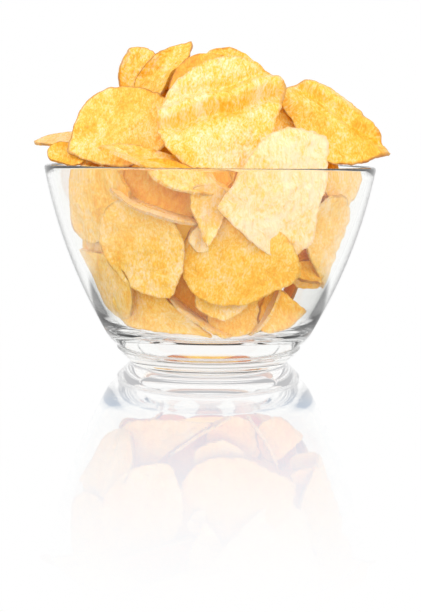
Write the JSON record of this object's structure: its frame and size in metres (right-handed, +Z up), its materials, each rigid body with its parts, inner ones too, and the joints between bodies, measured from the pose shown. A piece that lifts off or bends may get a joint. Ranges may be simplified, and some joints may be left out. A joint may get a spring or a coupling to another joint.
{
  "type": "bowl of crisps",
  "caption": "Clear glass bowl on a low round foot, heaped above its rim with thin curled potato crisps that lean out past the lip.",
  "frame": {"origin": "middle of the bowl's foot, on the surface that it stands on", "axes": "+Z up along the bowl's axis; the side with the large flat crisp above the rim faces -Y"},
  "size_m": [0.1719, 0.16, 0.1566],
  "materials": {
    "clear_glass": "clear, smooth and fire-polished, with a thick base",
    "crisp": "fried potato: dry, pale yellow to golden, blistered, with browned edges and a faint oily sheen"
  },
  "bodies": {
    "root": {"glass_bowl": "clear_glass", "crisps_heap": "crisp"}
  },
  "joints": []
}
